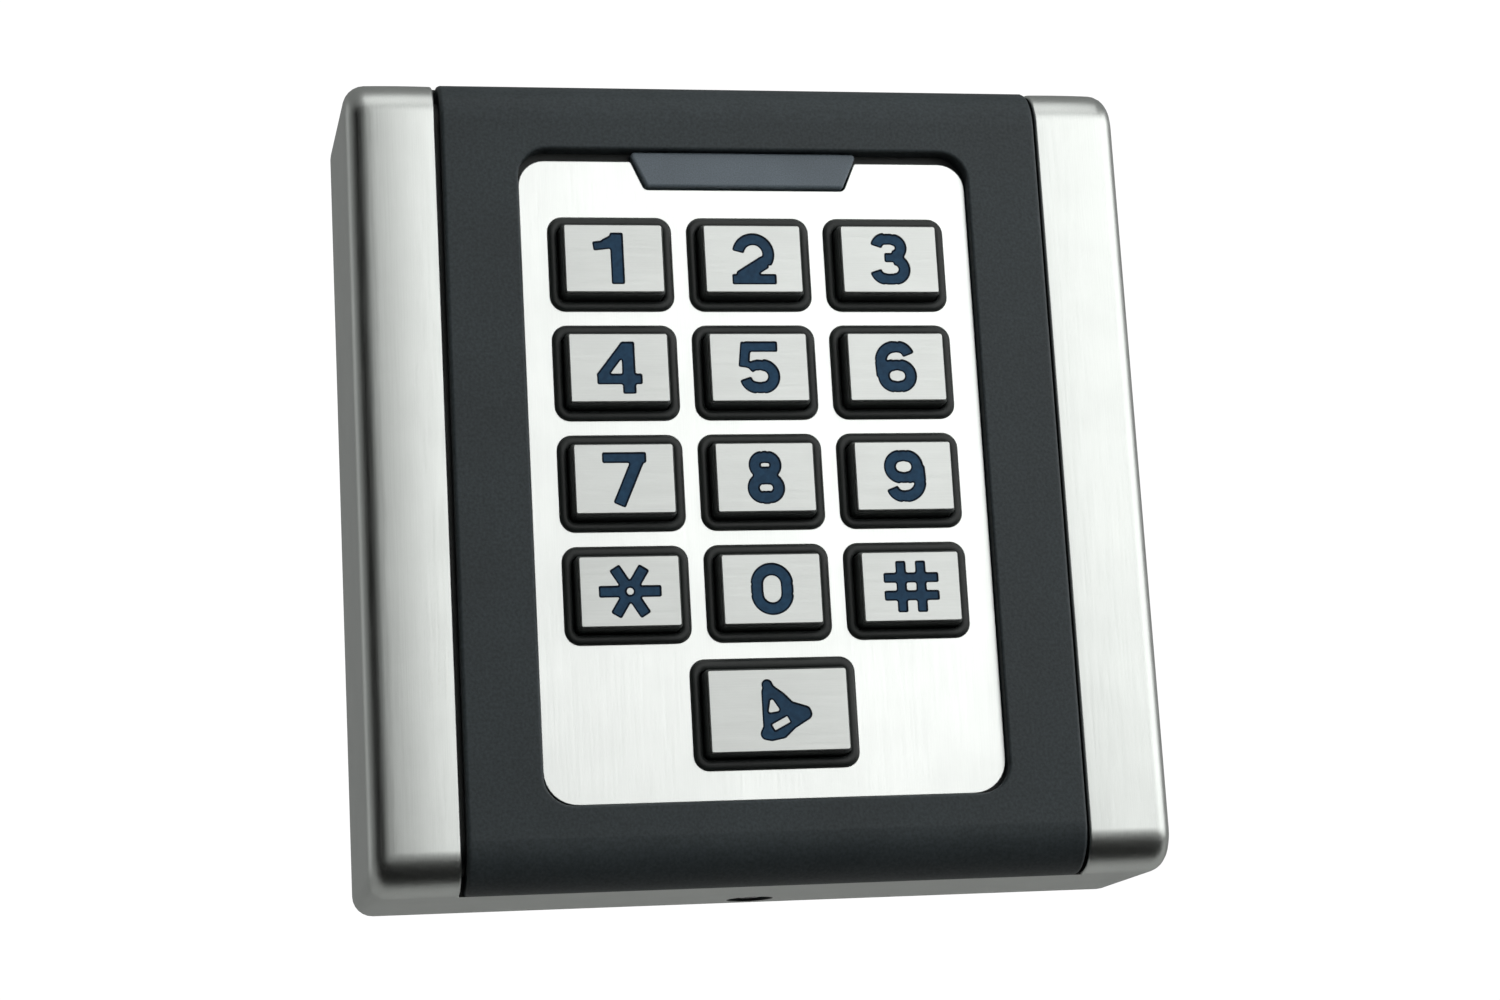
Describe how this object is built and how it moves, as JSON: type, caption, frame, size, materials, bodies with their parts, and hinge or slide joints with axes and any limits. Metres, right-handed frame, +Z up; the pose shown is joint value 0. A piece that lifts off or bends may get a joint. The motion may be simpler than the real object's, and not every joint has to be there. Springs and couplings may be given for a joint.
{
  "type": "keypad access reader",
  "caption": "Square wall-mounted access reader with raised sprung metal keys, a bell key, a status window and a black wrap-over front frame on a metal housing.",
  "frame": {"origin": "centre of the wall plate's back face, on the wall", "axes": "+Z up, the keys face -Y, +Y into the wall, +X to the right of someone facing the keys"},
  "size_m": [0.118, 0.0335, 0.1204],
  "materials": {
    "nickel_zinc": "satin nickel-plated die casting, brushed along Z",
    "black_plastic": "matt charcoal, fine grain",
    "satin_steel": "satin brushed stainless sheet",
    "cap_steel": "brushed stainless with crisp edges",
    "legend_resin": "dark blue translucent resin",
    "smoked_plastic": "slate grey translucent",
    "black_silicone": "matt moulded silicone",
    "circuit_board": "solder mask",
    "lamp": "clear resin",
    "chip_plastic": "moulded epoxy",
    "relay_plastic": "moulded",
    "connector_plastic": "moulded nylon",
    "copper_wire": "enamelled winding",
    "cover_plastic": "moulded, fine grain",
    "zinc_steel": "zinc-plated sheet",
    "screw_steel": "plain"
  },
  "bodies": {
    "reader": {"housing": "nickel_zinc", "centre_frame": "black_plastic", "key_plate": "satin_steel", "status_window": "smoked_plastic", "keypad_mat": "black_silicone", "main_board": "circuit_board", "key_leds": "lamp", "status_leds": "lamp", "controller_chip": "chip_plastic", "relay": "relay_plastic", "buzzer": "chip_plastic", "antenna_coil": "copper_wire", "light_sensor": "chip_plastic", "wire_connector": "connector_plastic", "cover_gasket": "black_silicone", "rear_cover": "cover_plastic", "cable_gland": "black_silicone", "wall_plate": "zinc_steel", "security_screw": "screw_steel", "cover_screws": "screw_steel", "board_screws": "screw_steel"},
    "key_1": {"key_1_cap": "cap_steel", "key_1_legend": "legend_resin", "key_1_post": "black_silicone"},
    "key_2": {"key_2_cap": "cap_steel", "key_2_legend": "legend_resin", "key_2_post": "black_silicone"},
    "key_3": {"key_3_cap": "cap_steel", "key_3_legend": "legend_resin", "key_3_post": "black_silicone"},
    "key_4": {"key_4_cap": "cap_steel", "key_4_legend": "legend_resin", "key_4_post": "black_silicone"},
    "key_5": {"key_5_cap": "cap_steel", "key_5_legend": "legend_resin", "key_5_post": "black_silicone"},
    "key_6": {"key_6_cap": "cap_steel", "key_6_legend": "legend_resin", "key_6_post": "black_silicone"},
    "key_7": {"key_7_cap": "cap_steel", "key_7_legend": "legend_resin", "key_7_post": "black_silicone"},
    "key_8": {"key_8_cap": "cap_steel", "key_8_legend": "legend_resin", "key_8_post": "black_silicone"},
    "key_9": {"key_9_cap": "cap_steel", "key_9_legend": "legend_resin", "key_9_post": "black_silicone"},
    "key_star": {"key_star_cap": "cap_steel", "key_star_legend": "legend_resin", "key_star_post": "black_silicone"},
    "key_0": {"key_0_cap": "cap_steel", "key_0_legend": "legend_resin", "key_0_post": "black_silicone"},
    "key_hash": {"key_hash_cap": "cap_steel", "key_hash_legend": "legend_resin", "key_hash_post": "black_silicone"},
    "key_bell": {"key_bell_cap": "cap_steel", "key_bell_legend": "legend_resin", "key_bell_post": "black_silicone"}
  },
  "joints": [
    {"name": "key_1_press", "type": "slide", "parent": "reader", "child": "key_1", "axis": [0, 1, 0], "range_m": [0, 0.0012], "stiffness_N_per_m": 900, "springref_m": -0.0004},
    {"name": "key_2_press", "type": "slide", "parent": "reader", "child": "key_2", "axis": [0, 1, 0], "range_m": [0, 0.0012], "stiffness_N_per_m": 900, "springref_m": -0.0004},
    {"name": "key_3_press", "type": "slide", "parent": "reader", "child": "key_3", "axis": [0, 1, 0], "range_m": [0, 0.0012], "stiffness_N_per_m": 900, "springref_m": -0.0004},
    {"name": "key_4_press", "type": "slide", "parent": "reader", "child": "key_4", "axis": [0, 1, 0], "range_m": [0, 0.0012], "stiffness_N_per_m": 900, "springref_m": -0.0004},
    {"name": "key_5_press", "type": "slide", "parent": "reader", "child": "key_5", "axis": [0, 1, 0], "range_m": [0, 0.0012], "stiffness_N_per_m": 900, "springref_m": -0.0004},
    {"name": "key_6_press", "type": "slide", "parent": "reader", "child": "key_6", "axis": [0, 1, 0], "range_m": [0, 0.0012], "stiffness_N_per_m": 900, "springref_m": -0.0004},
    {"name": "key_7_press", "type": "slide", "parent": "reader", "child": "key_7", "axis": [0, 1, 0], "range_m": [0, 0.0012], "stiffness_N_per_m": 900, "springref_m": -0.0004},
    {"name": "key_8_press", "type": "slide", "parent": "reader", "child": "key_8", "axis": [0, 1, 0], "range_m": [0, 0.0012], "stiffness_N_per_m": 900, "springref_m": -0.0004},
    {"name": "key_9_press", "type": "slide", "parent": "reader", "child": "key_9", "axis": [0, 1, 0], "range_m": [0, 0.0012], "stiffness_N_per_m": 900, "springref_m": -0.0004},
    {"name": "key_star_press", "type": "slide", "parent": "reader", "child": "key_star", "axis": [0, 1, 0], "range_m": [0, 0.0012], "stiffness_N_per_m": 900, "springref_m": -0.0004},
    {"name": "key_0_press", "type": "slide", "parent": "reader", "child": "key_0", "axis": [0, 1, 0], "range_m": [0, 0.0012], "stiffness_N_per_m": 900, "springref_m": -0.0004},
    {"name": "key_hash_press", "type": "slide", "parent": "reader", "child": "key_hash", "axis": [0, 1, 0], "range_m": [0, 0.0012], "stiffness_N_per_m": 900, "springref_m": -0.0004},
    {"name": "key_bell_press", "type": "slide", "parent": "reader", "child": "key_bell", "axis": [0, 1, 0], "range_m": [0, 0.0012], "stiffness_N_per_m": 900, "springref_m": -0.0004}
  ]
}
